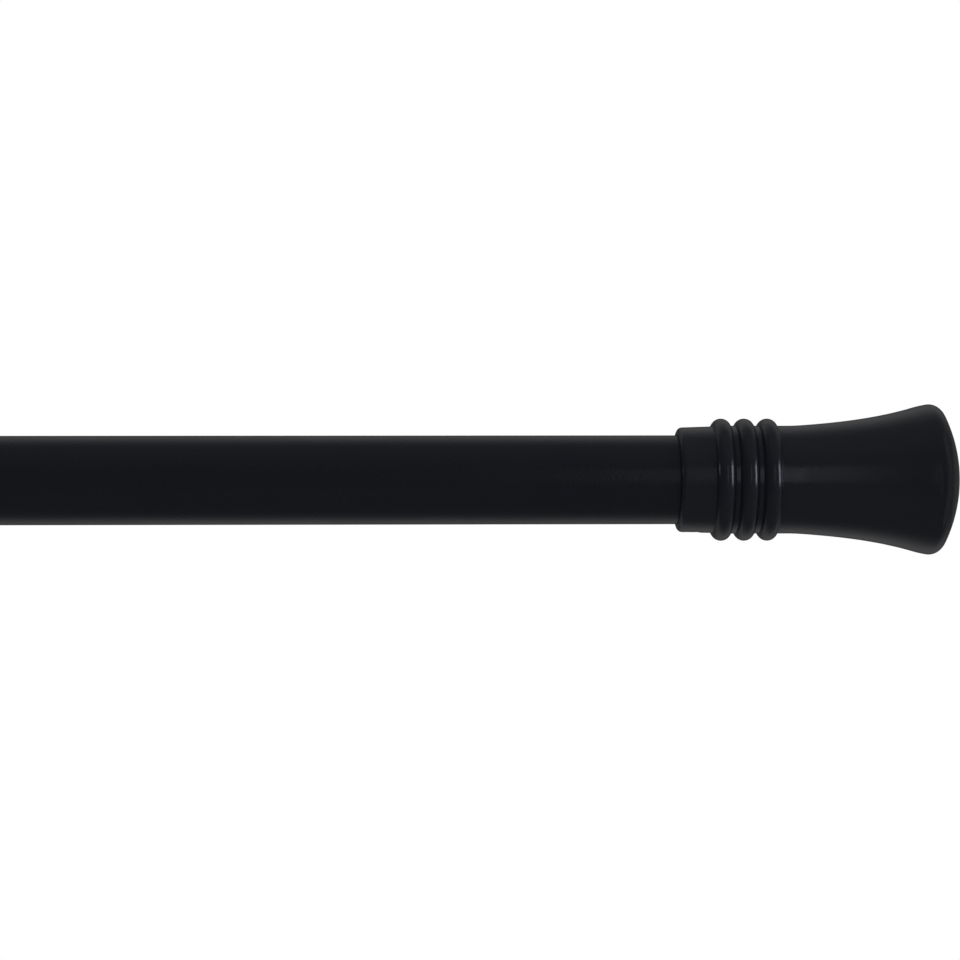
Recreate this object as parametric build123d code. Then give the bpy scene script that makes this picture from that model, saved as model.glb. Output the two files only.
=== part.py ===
from build123d import *
import math
import os

# Telescoping curtain rod with a ringed trumpet finial on each end. Millimetres.
# X runs along the rod towards the right finial, Z is up, and the origin is at the middle of the rod at rest.

# Tubes: the inner one slides in the outer one.
TUBE_DIAMETER = 25.4
TUBE_WALL = 0.8
OUTER_LENGTH = 708.8  # full-diameter stretch, from the mouth to the right finial's collar
SPIGOT_LENGTH = 27.0  # reduced end that enters a finial's socket
SWAGE = 0.35  # drop in radius at the reduced end
SWAGE_RUN = 0.4
TRAVEL = 508.0
REST_EXTENSION = 100.0  # how far the rod is drawn out at rest
CLOSED_GAP = 1.0  # from the left collar to the mouth bush when closed

# Clearances, all on the radius unless they say otherwise.
SNUG = 0.03  # pieces that stay together
RUN = 0.05  # pieces that slide or turn
SOCKET_CLEARANCE = 0.08
SOCKET_END_GAP = 0.1  # along the rod, between a tube's end and the socket's shoulder
STOP_GAP = 1.0  # along the rod, between guide ring and mouth bush when fully drawn out

# Mouth bush, pressed into the outer tube's open end.
BUSH_WALL = 0.72
BUSH_LENGTH = 24.0
FLANGE_THICKNESS = 1.2
FLANGE_INSET = 0.2  # flange radius under the tube's
FLANGE_ROUND = 0.4
BUSH_LEAD_IN = 0.3

# Guide ring, split so that it snaps into a rolled groove near the inner tube's hidden end.
GROOVE_DEPTH = 0.4
RING_LENGTH = 8.0
RING_SIDE_GAP = 0.2
RING_SPLIT = 2.5
END_LAND = 10.0

# Reducing sleeve, which brings the inner tube's end up to the finial's socket.
SLEEVE_SPLIT = 2.0

# Finial casting, measured from the mouth of its collar.
COLLAR_WALL = 2.54
COLLAR_LENGTH = 9.93
COLLAR_RISE = 0.27  # the collar widens a little towards the rings
MOUTH_ROUND = 1.5
LEAD_IN = 0.25
BEAD_COUNT = 3
BEAD_LENGTH = 5.33
BEAD_HEIGHT = 2.04
BEAD_LAND = 1.28
NECK_RISE = 0.46  # neck radius over the collar's mouth
NECK_LENGTH = 5.37
FLARE_LENGTH = 38.4  # from the neck to the widest point
FLARE_RISE = 6.11  # widest radius over the neck's
FLARE_START_ANGLE = 4.3
SHOULDER_RADIUS = 31.0
SHOULDER_ANGLE = 16.3
RIM_ROUND = 3.85
RIM_ANGLE = 9.0
DOME_HEIGHT = 8.2  # from the widest point to the tip
CORE_STEP = 0.9  # shoulder that stops the tube
CORE_DRAFT = 1.0
CORE_ROUND = 3.0
TIP_WALL = 10.0

# Grub screw in the collar, on the underside.
SCREW_DIAMETER = 4.0
SCREW_RECESS = 0.12
SCREW_CHAMFER = 0.4
HEX_KEY = 2.0
HEX_DEPTH = 1.4

tube_r = TUBE_DIAMETER / 2
bore_r = tube_r - TUBE_WALL
spigot_r = tube_r - SWAGE
socket_r = spigot_r + SOCKET_CLEARANCE
bush_bore_r = bore_r - SNUG - BUSH_WALL
inner_r = bush_bore_r - RUN
groove_r = inner_r - GROOVE_DEPTH
collar_r = socket_r + COLLAR_WALL
neck_r = collar_r + NECK_RISE

# Places along the rod at rest.
half = (OUTER_LENGTH + FLANGE_THICKNESS + CLOSED_GAP + REST_EXTENSION) / 2
right_collar_x = half
left_collar_x = -half
mouth_x = right_collar_x - OUTER_LENGTH
ring_end_x = mouth_x + BUSH_LENGTH + STOP_GAP + TRAVEL - REST_EXTENSION
groove_start_x = ring_end_x - RING_SIDE_GAP
groove_end_x = ring_end_x + RING_LENGTH + RING_SIDE_GAP
inner_end_x = groove_end_x + END_LAND
screw_x = COLLAR_LENGTH / 2


def turned(edges):
    """Solid of revolution about X from a closed profile of x and radius."""
    return revolve(make_face(edges), Axis.X)


def turned_polygon(points):
    """Solid of revolution about X from the corners of its profile."""
    return turned(Polyline(*points, close=True).edges())


def on_slope(center, radius, slope):
    """Point of an arc's crest side where its tangent climbs at the given angle."""
    angle = math.radians(90 + slope)
    return (center[0] + radius * math.cos(angle), center[1] + radius * math.sin(angle))


def outer_tube():
    """Steel tube, open at its mouth and swaged down where the right finial slips on."""
    end_x = right_collar_x + SPIGOT_LENGTH
    swage_x = right_collar_x + SWAGE_RUN
    return turned_polygon(
        [
            (mouth_x, bore_r),
            (mouth_x, tube_r),
            (right_collar_x, tube_r),
            (swage_x, spigot_r),
            (end_x, spigot_r),
            (end_x, spigot_r - TUBE_WALL),
            (swage_x, spigot_r - TUBE_WALL),
            (right_collar_x, bore_r),
        ]
    )


def mouth_bush():
    """Flanged bush that guides the inner tube at the outer tube's mouth."""
    flange_x = mouth_x - FLANGE_THICKNESS
    flange_r = tube_r - FLANGE_INSET
    end_x = mouth_x + BUSH_LENGTH
    bush = turned_polygon(
        [
            (flange_x, bush_bore_r + BUSH_LEAD_IN),
            (flange_x, flange_r),
            (mouth_x, flange_r),
            (mouth_x, bore_r - SNUG),
            (end_x, bore_r - SNUG),
            (end_x, bush_bore_r),
            (flange_x + BUSH_LEAD_IN, bush_bore_r),
        ]
    )
    rim = bush.edges().filter_by(GeomType.CIRCLE).group_by(Axis.X)[0].sort_by(SortBy.RADIUS)[-1]
    return fillet(rim, FLANGE_ROUND)


def inner_tube():
    """Steel tube that carries the left finial, with a rolled groove near its hidden end."""
    start_x = left_collar_x - SPIGOT_LENGTH
    inner_bore_r = inner_r - TUBE_WALL
    return turned_polygon(
        [
            (start_x, inner_r),
            (groove_start_x, inner_r),
            (groove_start_x, groove_r),
            (groove_end_x, groove_r),
            (groove_end_x, inner_r),
            (inner_end_x, inner_r),
            (inner_end_x, inner_bore_r),
            (groove_end_x + TUBE_WALL, inner_bore_r),
            (groove_end_x + TUBE_WALL, groove_r - TUBE_WALL),
            (groove_start_x - TUBE_WALL, groove_r - TUBE_WALL),
            (groove_start_x - TUBE_WALL, inner_bore_r),
            (start_x, inner_bore_r),
        ]
    )


def split_sleeve(start_x, end_x, inside_r, outside_r, split):
    """Plain ring with a slot along its top, so that it can spring open."""
    ring = turned_polygon([(start_x, inside_r), (start_x, outside_r), (end_x, outside_r), (end_x, inside_r)])
    middle = Pos((start_x + end_x) / 2, 0, 0)
    slot = Box(end_x - start_x, split, outside_r, align=(Align.CENTER, Align.CENTER, Align.MIN))
    return ring - middle * slot


def finial_profile():
    """Edges of the casting's half section, from the collar's mouth round the tip and back along the core."""
    bead_x = [COLLAR_LENGTH + i * (BEAD_LENGTH + BEAD_LAND) for i in range(BEAD_COUNT)]
    beads_end_x = bead_x[-1] + BEAD_LENGTH
    neck_end_x = beads_end_x + NECK_LENGTH
    rim_x = neck_end_x + FLARE_LENGTH
    tip_x = rim_x + DOME_HEIGHT
    rim_r = neck_r + FLARE_RISE

    collar_end = (COLLAR_LENGTH, collar_r + COLLAR_RISE)
    edges = [
        Line((0, socket_r + SWAGE + LEAD_IN), (0, collar_r - MOUTH_ROUND)),
        CenterArc((MOUTH_ROUND, collar_r - MOUTH_ROUND), MOUTH_ROUND, 180, -90),
        Line((MOUTH_ROUND, collar_r), collar_end),
        Line(collar_end, (COLLAR_LENGTH, neck_r)),
    ]
    for x in bead_x:
        bead_end = (x + BEAD_LENGTH, neck_r)
        edges.append(ThreePointArc((x, neck_r), (x + BEAD_LENGTH / 2, neck_r + BEAD_HEIGHT), bead_end))
        edges.append(Line(bead_end, (x + BEAD_LENGTH + (BEAD_LAND if x < bead_x[-1] else NECK_LENGTH), neck_r)))

    rim_center = (rim_x, rim_r - RIM_ROUND)
    rim_start = on_slope(rim_center, RIM_ROUND, RIM_ANGLE)
    shoulder_center = on_slope(rim_start, SHOULDER_RADIUS, RIM_ANGLE + 180)
    flare_start = (neck_end_x, neck_r)
    flare_end = on_slope(shoulder_center, SHOULDER_RADIUS, SHOULDER_ANGLE)
    reach = (flare_end[0] - flare_start[0]) / 3
    flare_out = (flare_start[0] + reach, flare_start[1] + reach * math.tan(math.radians(FLARE_START_ANGLE)))
    flare_in = (flare_end[0] - reach, flare_end[1] - reach * math.tan(math.radians(SHOULDER_ANGLE)))
    edges.append(Bezier(flare_start, flare_out, flare_in, flare_end))
    edges.append(CenterArc(shoulder_center, SHOULDER_RADIUS, 90 + SHOULDER_ANGLE, RIM_ANGLE - SHOULDER_ANGLE))

    dome_r = (DOME_HEIGHT**2 + rim_center[1] ** 2 - RIM_ROUND**2) / (2 * (DOME_HEIGHT - RIM_ROUND))
    dome_center = (tip_x - dome_r, 0)
    blend = math.degrees(math.atan2(rim_center[1], rim_x - dome_center[0]))
    edges.append(CenterArc(rim_center, RIM_ROUND, 90 + RIM_ANGLE, blend - 90 - RIM_ANGLE))
    edges.append(CenterArc(dome_center, dome_r, blend, -blend))

    socket_end_x = SPIGOT_LENGTH + SOCKET_END_GAP
    core_r = socket_r - CORE_STEP
    core_end_x = tip_x - TIP_WALL
    core_tip_r = core_r - (core_end_x - socket_end_x) * math.tan(math.radians(CORE_DRAFT))
    core_corner = (core_end_x - CORE_ROUND, core_tip_r - CORE_ROUND)
    lead_in_x = SWAGE + LEAD_IN
    edges += [
        Line((tip_x, 0), (core_end_x, 0)),
        Line((core_end_x, 0), (core_end_x, core_corner[1])),
        CenterArc(core_corner, CORE_ROUND, 0, 90),
        Line((core_corner[0], core_tip_r), (socket_end_x, core_r)),
        Line((socket_end_x, core_r), (socket_end_x, socket_r)),
        Line((socket_end_x, socket_r), (lead_in_x, socket_r)),
        Line((lead_in_x, socket_r), (0, socket_r + lead_in_x)),
    ]
    return edges


def finial():
    """One-piece casting: plain collar over the tube, beads, neck, trumpet flare and domed tip."""
    hole_depth = collar_r + COLLAR_RISE
    hole = Cylinder(SCREW_DIAMETER / 2 + SNUG, hole_depth, align=(Align.CENTER, Align.CENTER, Align.MAX))
    return turned(finial_profile()) - Pos(screw_x, 0, 0) * hole


def grub_screw():
    """Short set screw with a hexagon socket, standing in the collar with its tip flush with the socket."""
    surface_r = collar_r + COLLAR_RISE * (screw_x - MOUTH_ROUND) / (COLLAR_LENGTH - MOUTH_ROUND)
    head_z = SCREW_RECESS - surface_r
    length = surface_r - SCREW_RECESS - socket_r
    body = Cylinder(SCREW_DIAMETER / 2, length, align=(Align.CENTER, Align.CENTER, Align.MIN))
    body = chamfer(body.edges().filter_by(GeomType.CIRCLE).sort_by(Axis.Z)[-1], SCREW_CHAMFER)
    socket = extrude(RegularPolygon(HEX_KEY / 2, 6, major_radius=False), HEX_DEPTH)
    return Pos(screw_x, 0, head_z) * (body - socket)


at_right = Pos(right_collar_x, 0, 0)
at_left = Pos(left_collar_x, 0, 0) * Rot(0, 0, 180)

nodes = {
    "outer_tube": outer_tube(),
    "mouth_bush": mouth_bush(),
    "inner_tube": inner_tube(),
    "guide_ring": split_sleeve(ring_end_x, ring_end_x + RING_LENGTH, groove_r + RUN, bore_r - RUN, RING_SPLIT),
    "reducing_sleeve": split_sleeve(
        left_collar_x - SPIGOT_LENGTH, left_collar_x, inner_r + SNUG, spigot_r, SLEEVE_SPLIT
    ),
    "right_finial": at_right * finial(),
    "right_grub_screw": at_right * grub_screw(),
    "left_finial": at_left * finial(),
    "left_grub_screw": at_left * grub_screw(),
}

os.makedirs("parts", exist_ok=True)
for name, shape in nodes.items():
    export_step(shape, f"parts/{name}.step")
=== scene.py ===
"""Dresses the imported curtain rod: fine turned meshes, satin black coats, studio and camera."""

import logging
import math
from dataclasses import dataclass, field, replace
from enum import Enum

import bpy
import numpy as np
from mathutils import Matrix, Vector


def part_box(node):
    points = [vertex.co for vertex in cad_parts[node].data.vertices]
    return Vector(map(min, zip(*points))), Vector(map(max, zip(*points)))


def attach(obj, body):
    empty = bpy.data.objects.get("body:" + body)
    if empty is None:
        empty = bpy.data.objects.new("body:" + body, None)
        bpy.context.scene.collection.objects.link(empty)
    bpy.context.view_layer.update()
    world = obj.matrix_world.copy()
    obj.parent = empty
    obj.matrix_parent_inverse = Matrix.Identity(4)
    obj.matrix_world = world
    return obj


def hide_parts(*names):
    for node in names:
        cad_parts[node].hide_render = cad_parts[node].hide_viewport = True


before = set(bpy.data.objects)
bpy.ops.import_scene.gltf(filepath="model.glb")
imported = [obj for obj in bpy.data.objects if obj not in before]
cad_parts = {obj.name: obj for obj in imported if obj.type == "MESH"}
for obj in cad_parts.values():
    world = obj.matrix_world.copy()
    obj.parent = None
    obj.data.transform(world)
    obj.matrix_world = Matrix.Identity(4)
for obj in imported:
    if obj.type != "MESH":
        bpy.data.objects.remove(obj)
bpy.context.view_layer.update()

log = logging.getLogger("curtain_rod")

# Metres in a millimetre
MM = 0.001

# Points of a profile that lie closer together than this, in millimetres, are one
TOUCHING = 1e-6

# Directions in a profile, in degrees from +X towards the outside
AHEAD = 0.0
OUTWARD = 90.0
BACK = 180.0
INWARD = -90.0
WHOLE_TURN = 360.0

# Parts that the round stretches of a profile are divided into
EDGE_STEPS = 6
FOOT_STEPS = 8
CORNER_STEPS = 10
SHOULDER_STEPS = 12
DOME_STEPS = 24
SWEEP_STEPS = 40

# Values between which most of a noise texture lies
NOISE_SPAN = (0.35, 0.65)

Point = tuple[float, float]
Span = tuple[float, float]
Place = tuple[float, float, float]
Color = tuple[float, float, float]
Inputs = dict[str | int, object]
Socket = bpy.types.NodeSocket

WHITE = (1.0, 1.0, 1.0, 1.0)


class Body(Enum):
    """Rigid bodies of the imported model."""

    OUTER = "outer"
    GLIDE = "glide"
    INNER = "inner"
    RIGHT_END = "right_end"
    LEFT_END = "left_end"


class Slot(Enum):
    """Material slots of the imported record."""

    TUBE_COAT = "tube_coat"
    FINIAL_COAT = "finial_coat"
    NYLON = "nylon"


class End(Enum):
    """Which end of the rod a finial sits on; the value is the way it points along X."""

    RIGHT = 1
    LEFT = -1


class Skin(Enum):
    """Which of a piece's two finishes a stretch of its surface has; the value is the material's index."""

    COATED = 0
    BARE = 1


def add_object(name: str, data: bpy.types.ID) -> bpy.types.Object:
    """Adds an object to the scene.

    Args:
        name: its name.
        data: its mesh, lamp or camera.

    Returns:
        The object.
    """
    thing = bpy.data.objects.new(name, data)
    bpy.context.scene.collection.objects.link(thing)
    return thing


def unit(vector: np.ndarray) -> np.ndarray:
    """Vector of length 1 in the same direction."""
    return vector / np.linalg.norm(vector)


def steepness(degrees: float) -> float:
    """Rise for each step along, on a slope of the given angle."""
    return math.tan(math.radians(degrees))


# Nodes of materials and world


class NodeGraph:
    """A short way to add and link the nodes of one material or world."""

    def __init__(self, tree: bpy.types.NodeTree) -> None:
        """Takes over a tree and empties it."""
        self.tree = tree
        tree.nodes.clear()

    def add(self, kind: str, inputs: Inputs | None = None, **settings: object) -> bpy.types.Node:
        """Adds a node.

        Args:
            kind: Blender's node type name.
            inputs: values or sockets for its inputs, by name or index.
            **settings: properties of the node itself.

        Returns:
            The new node.
        """
        node = self.tree.nodes.new(kind)
        for key, value in settings.items():
            setattr(node, key, value)
        for key, value in (inputs or {}).items():
            if isinstance(value, Socket):
                self.tree.links.new(value, node.inputs[key])
            else:
                node.inputs[key].default_value = value
        return node

    def math(self, operation: str, a: object, b: object = 0.0) -> Socket:
        """Result of one of Blender's math operations on two values or sockets."""
        return self.add("ShaderNodeMath", {0: a, 1: b}, operation=operation).outputs[0]

    def plus(self, a: Socket, b: Socket, share: float) -> Socket:
        """First value plus a share of the second."""
        return self.math("ADD", a, self.math("MULTIPLY", b, share))

    def fade(self, share: object, a: Socket, b: Socket) -> Socket:
        """Mix of two values, with the given share of the second."""
        inputs = {"Factor": share, "A": a, "B": b}
        return self.add("ShaderNodeMix", inputs, data_type="FLOAT").outputs["Result"]

    def blend(self, share: Socket, a: Color, b: Color) -> Socket:
        """Mix of two colours, with the given share of the second."""
        inputs = {"Fac": share, "Color1": (*a, 1.0), "Color2": (*b, 1.0)}
        return self.add("ShaderNodeMixRGB", inputs).outputs["Color"]

    def ramp(self, value: Socket, source: Span, target: Span = (0.0, 1.0)) -> Socket:
        """Maps a value smoothly from one range to another.

        Args:
            value: socket to read.
            source: values between which the result changes.
            target: results there and beyond.

        Returns:
            The result.
        """
        inputs = {
            "Value": value,
            "From Min": source[0],
            "From Max": source[1],
            "To Min": target[0],
            "To Max": target[1],
        }
        return self.add("ShaderNodeMapRange", inputs, interpolation_type="SMOOTHSTEP").outputs["Result"]

    def place(self) -> Socket:
        """Place on the piece, in metres."""
        return self.add("ShaderNodeTexCoord").outputs["Object"]

    def scaled(self, where: Socket, scale: Place) -> Socket:
        """A place with each axis scaled, which draws a texture out along an axis with a small scale."""
        return self.add("ShaderNodeMapping", {"Vector": where, "Scale": scale}).outputs[0]

    def noise(self, where: Socket, size_mm: float, detail: float = 2.0) -> Socket:
        """Noise at a place, with features of the given size and a number of finer layers on top."""
        inputs = {"Vector": where, "Scale": 1 / (size_mm * MM), "Detail": detail}
        return self.add("ShaderNodeTexNoise", inputs).outputs["Fac"]

    def bump(self, height: Socket, depth_mm: float) -> Socket:
        """Normal of a surface with the given relief."""
        return self.add("ShaderNodeBump", {"Height": height, "Distance": depth_mm * MM}).outputs[0]

    def surface(self, inputs: Inputs) -> None:
        """Adds the material's shader with the given inputs, and its output."""
        shader = self.add("ShaderNodeBsdfPrincipled", inputs)
        self.add("ShaderNodeOutputMaterial", {"Surface": shader.outputs[0]})


# Finishes


def new_material(name: str) -> tuple[bpy.types.Material, NodeGraph]:
    """Makes an empty node material.

    Args:
        name: its name.

    Returns:
        The material and its node graph.
    """
    material = bpy.data.materials.new(name)
    material.use_nodes = True
    return material, NodeGraph(material.node_tree)


@dataclass(frozen=True)
class SatinCoat:
    """Satin black powder coat: a fine orange peel, slight changes of gloss and paler specks.

    Attributes:
        name: material name.
        color: linear base colour.
        speck_color: linear colour of the specks.
        roughness: lowest and highest roughness.
        ior: index of refraction.
        peel_mm: wavelength of the orange peel.
        peel_detail: finer layers on the orange peel.
        peel_height_mm: depth of the orange peel.
        speck_mm: spacing of the specks.
        speck_level: noise values between which a speck fades in.
        speck_relief: height of the specks' noise against the orange peel.
        speck_gloss: share of the specks' noise in the changes of gloss.
        cloud_mm: size of the patches that differ in gloss.
        cloud_detail: finer layers on those patches.
        marks: strength of faint sliding marks along the rod.
        marks_mm: spacing of those marks.
        marks_scale: scale of the marks along X, Y and Z; a small one draws them out.
    """

    name: str
    color: Color = (0.0054, 0.0070, 0.0116)
    speck_color: Color = (0.0087, 0.0100, 0.0145)
    roughness: Span = (0.25, 0.31)
    ior: float = 1.5
    peel_mm: float = 1.2
    peel_detail: float = 1.0
    peel_height_mm: float = 0.035
    speck_mm: float = 0.35
    speck_level: Span = (0.62, 0.78)
    speck_relief: float = 0.25
    speck_gloss: float = 0.35
    cloud_mm: float = 22.0
    cloud_detail: float = 3.0
    marks: float = 0.0
    marks_mm: float = 0.5
    marks_scale: Place = (0.02, 1.0, 1.0)

    def material(self) -> bpy.types.Material:
        """Builds the node material.

        Returns:
            The material.
        """
        material, nodes = new_material(self.name)
        where = nodes.place()
        peel = nodes.noise(where, self.peel_mm, self.peel_detail)
        specks = nodes.noise(where, self.speck_mm)
        clouds = nodes.noise(where, self.cloud_mm, self.cloud_detail)
        relief = nodes.plus(peel, specks, self.speck_relief)
        if self.marks:
            marks = nodes.noise(nodes.scaled(where, self.marks_scale), self.marks_mm)
            relief = nodes.plus(relief, marks, self.marks)
        gloss = nodes.fade(self.speck_gloss, clouds, specks)
        nodes.surface(
            {
                "Base Color": nodes.blend(nodes.ramp(specks, self.speck_level), self.color, self.speck_color),
                "Roughness": nodes.ramp(gloss, NOISE_SPAN, self.roughness),
                "Normal": nodes.bump(relief, self.peel_height_mm),
                "IOR": self.ior,
            }
        )
        return material


@dataclass(frozen=True)
class BareMetal:
    """Uncoated metal with the marks of the tool that made it, and duller patches.

    Attributes:
        name: material name.
        color: linear base colour.
        dull_color: linear colour of its dull patches.
        roughness: lowest and highest roughness.
        marks_mm: spacing of the tool marks.
        marks_scale: scale of the marks along X, Y and Z; a small one draws them out.
        marks_depth_mm: depth of the marks.
        marks_level: noise values between which the roughness changes.
        patch_mm: size of the dull patches.
        patch_detail: finer layers on the dull patches.
        patch_level: noise values between which a patch fades in.
    """

    name: str
    color: Color
    dull_color: Color
    roughness: Span
    marks_mm: float
    marks_scale: Place
    marks_depth_mm: float = 0.006
    marks_level: Span = (0.3, 0.7)
    patch_mm: float = 4.0
    patch_detail: float = 4.0
    patch_level: Span = (0.4, 0.65)

    def material(self) -> bpy.types.Material:
        """Builds the node material.

        Returns:
            The material.
        """
        material, nodes = new_material(self.name)
        where = nodes.place()
        marks = nodes.noise(nodes.scaled(where, self.marks_scale), self.marks_mm)
        patches = nodes.noise(where, self.patch_mm, self.patch_detail)
        nodes.surface(
            {
                "Base Color": nodes.blend(nodes.ramp(patches, self.patch_level), self.color, self.dull_color),
                "Metallic": 1.0,
                "Roughness": nodes.ramp(marks, self.marks_level, self.roughness),
                "Normal": nodes.bump(marks, self.marks_depth_mm),
            }
        )
        return material


@dataclass(frozen=True)
class Nylon:
    """Moulded black nylon with a fine spark-eroded grain.

    Attributes:
        name: material name.
        color: linear base colour.
        grain_color: linear colour on top of the grain.
        roughness: lowest and highest roughness.
        ior: index of refraction.
        grain_mm: wavelength of the grain.
        grain_detail: finer layers on the grain.
        grain_depth_mm: depth of the grain.
        cloud_mm: size of the patches that differ in gloss.
    """

    name: str
    color: Color = (0.0110, 0.0110, 0.0115)
    grain_color: Color = (0.0170, 0.0170, 0.0175)
    roughness: Span = (0.46, 0.58)
    ior: float = 1.52
    grain_mm: float = 0.16
    grain_detail: float = 3.0
    grain_depth_mm: float = 0.006
    cloud_mm: float = 6.0

    def material(self) -> bpy.types.Material:
        """Builds the node material.

        Returns:
            The material.
        """
        material, nodes = new_material(self.name)
        where = nodes.place()
        grain = nodes.noise(where, self.grain_mm, self.grain_detail)
        nodes.surface(
            {
                "Base Color": nodes.blend(grain, self.color, self.grain_color),
                "Roughness": nodes.ramp(nodes.noise(where, self.cloud_mm), NOISE_SPAN, self.roughness),
                "Normal": nodes.bump(grain, self.grain_depth_mm),
                "IOR": self.ior,
            }
        )
        return material


@dataclass(frozen=True)
class StudioPaper:
    """Pale floor paper with a faint tooth, which the camera alone sees a little paler than it is lit.

    Attributes:
        name: material name.
        color: linear base colour.
        tooth_color: linear colour of its darker fibres.
        tooth_mm: size of the fibres' pattern.
        tooth_detail: finer layers on that pattern.
        roughness: its roughness.
        lift: how much paler the camera sees it.
    """

    name: str
    color: Color = (0.86, 0.86, 0.86)
    tooth_color: Color = (0.82, 0.82, 0.82)
    tooth_mm: float = 3.0
    tooth_detail: float = 3.0
    roughness: float = 0.9
    lift: float = 0.42

    def material(self) -> bpy.types.Material:
        """Builds the node material.

        Returns:
            The material.
        """
        material, nodes = new_material(self.name)
        tooth = nodes.noise(nodes.place(), self.tooth_mm, self.tooth_detail)
        to_camera = nodes.add("ShaderNodeLightPath").outputs["Is Camera Ray"]
        nodes.surface(
            {
                "Base Color": nodes.blend(tooth, self.color, self.tooth_color),
                "Roughness": self.roughness,
                "Emission Color": WHITE,
                "Emission Strength": nodes.math("MULTIPLY", to_camera, self.lift),
            }
        )
        return material


class Finishes:
    """The rod's finishes, each built once and shared by the pieces that have it."""

    def __init__(self) -> None:
        """Builds every finish."""
        self.outer_coat = SatinCoat("tube_satin_black").material()
        self.inner_coat = SatinCoat("inner_tube_satin_black", marks=0.5).material()
        self.finial_coat = SatinCoat(
            "finial_satin_black",
            color=(0.0084, 0.0102, 0.0149),
            speck_color=(0.0120, 0.0133, 0.0185),
            roughness=(0.18, 0.22),
        ).material()
        self.nylon = Nylon("black_nylon").material()
        self.bare_steel = BareMetal(
            "bare_tube_steel",
            color=(0.42, 0.42, 0.43),
            dull_color=(0.26, 0.26, 0.27),
            roughness=(0.38, 0.55),
            marks_mm=0.4,
            marks_scale=(0.03, 1.0, 1.0),
        ).material()
        self.bare_casting = BareMetal(
            "machined_casting",
            color=(0.55, 0.56, 0.57),
            dull_color=(0.40, 0.40, 0.41),
            roughness=(0.34, 0.50),
            marks_mm=0.3,
            marks_scale=(1.0, 0.05, 0.05),
        ).material()
        self.screw_steel = BareMetal(
            "black_oxide_steel",
            color=(0.035, 0.035, 0.038),
            dull_color=(0.075, 0.075, 0.080),
            roughness=(0.30, 0.46),
            marks_mm=0.25,
            marks_scale=(1.0, 1.0, 1.0),
        ).material()


# Turned meshes


@dataclass(frozen=True)
class Run:
    """A smooth stretch of a turned profile, walked with the material on the right.

    Attributes:
        points: x and radius of each station, in millimetres.
        normals: outward normal at each station, as x and radial parts.
        skin: which finish it has.
        pierced: whether the screw hole breaks through it.
    """

    points: tuple[Point, ...]
    normals: tuple[Point, ...]
    skin: Skin = Skin.COATED
    pierced: bool = False

    @staticmethod
    def line(start: Point, end: Point, steps: int = 1) -> "Run":
        """Straight stretch.

        Args:
            start: first point.
            end: last point.
            steps: number of equal parts.

        Returns:
            The run.
        """
        a, b = np.array(start), np.array(end)
        along = unit(b - a)
        points = tuple(tuple(a + (b - a) * k / steps) for k in range(steps + 1))
        return Run(points, ((-along[1], along[0]),) * (steps + 1))

    @staticmethod
    def arc(center: Point, radius: float, start: float, end: float, steps: int) -> "Run":
        """Circular stretch, which bulges where the angle falls and is hollow where it grows.

        Args:
            center: the circle's centre.
            radius: its radius.
            start: first angle in degrees, counted from +X towards the outside.
            end: last angle.
            steps: number of equal parts.

        Returns:
            The run.
        """
        rays = [(math.cos(a), math.sin(a)) for a in np.radians(np.linspace(start, end, steps + 1))]
        way = 1.0 if end < start else -1.0
        points = tuple((center[0] + radius * c, center[1] + radius * s) for c, s in rays)
        return Run(points, tuple((way * c, way * s) for c, s in rays))

    @staticmethod
    def curve(handles: tuple[Point, Point, Point, Point], steps: int) -> "Run":
        """Cubic Bezier stretch.

        Args:
            handles: its start, two handles and end.
            steps: number of parts.

        Returns:
            The run.
        """
        a, b, c, d = (np.array(p) for p in handles)
        points, normals = [], []
        for t in np.linspace(0, 1, steps + 1):
            s = 1 - t
            points.append(tuple(s**3 * a + 3 * s * s * t * b + 3 * s * t * t * c + t**3 * d))
            along = unit(s * s * (b - a) + 2 * s * t * (c - b) + t * t * (d - c))
            normals.append((-along[1], along[0]))
        return Run(tuple(points), tuple(normals))

    @staticmethod
    def bend(before: Point, corner: Point, after: Point, radius: float) -> "Run":
        """Rounds one corner of a polygon.

        Args:
            before: the corner before.
            corner: the corner itself.
            after: the corner after.
            radius: radius of the round, or 0 to keep the corner sharp.

        Returns:
            The round, or the corner alone.
        """
        if not radius:
            return Run((corner,), ((0.0, 0.0),))
        here = np.array(corner)
        back, ahead = unit(np.array(before) - here), unit(np.array(after) - here)
        half = math.acos(float(np.clip(back @ ahead, -1, 1))) / 2
        center = here + unit(back + ahead) * radius / math.sin(half)
        first, last = (here + way * radius / math.tan(half) - center for way in (back, ahead))
        start = math.degrees(math.atan2(first[1], first[0]))
        end = math.degrees(math.atan2(last[1], last[0]))
        end += WHOLE_TURN * round((start - end) / WHOLE_TURN)
        return Run.arc(tuple(center), radius, start, end, EDGE_STEPS)

    @staticmethod
    def polygon(corners: list[Point], rounds: dict[int, float], bare: tuple[int, ...] = ()) -> list["Run"]:
        """Closed profile of straight sides.

        Args:
            corners: its corners in walking order.
            rounds: radius of each rounded corner, by the corner's index.
            bare: sides without a coat, by the index of the corner that they start from.

        Returns:
            The runs, which end where they began.
        """
        after = corners[1:] + corners[:1]
        bends = [
            Run.bend(corners[i - 1], corner, after[i], rounds.get(i, 0.0)) for i, corner in enumerate(corners)
        ]
        runs: list[Run] = []
        for i, bend in enumerate(bends):
            ahead = bends[(i + 1) % len(bends)]
            skin = Skin.BARE if i in bare else Skin.COATED
            runs.append(replace(Run.line(bend.points[-1], ahead.points[0]), skin=skin))
            if len(ahead.points) > 1:
                runs.append(replace(ahead, skin=skin))
        return runs


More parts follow.
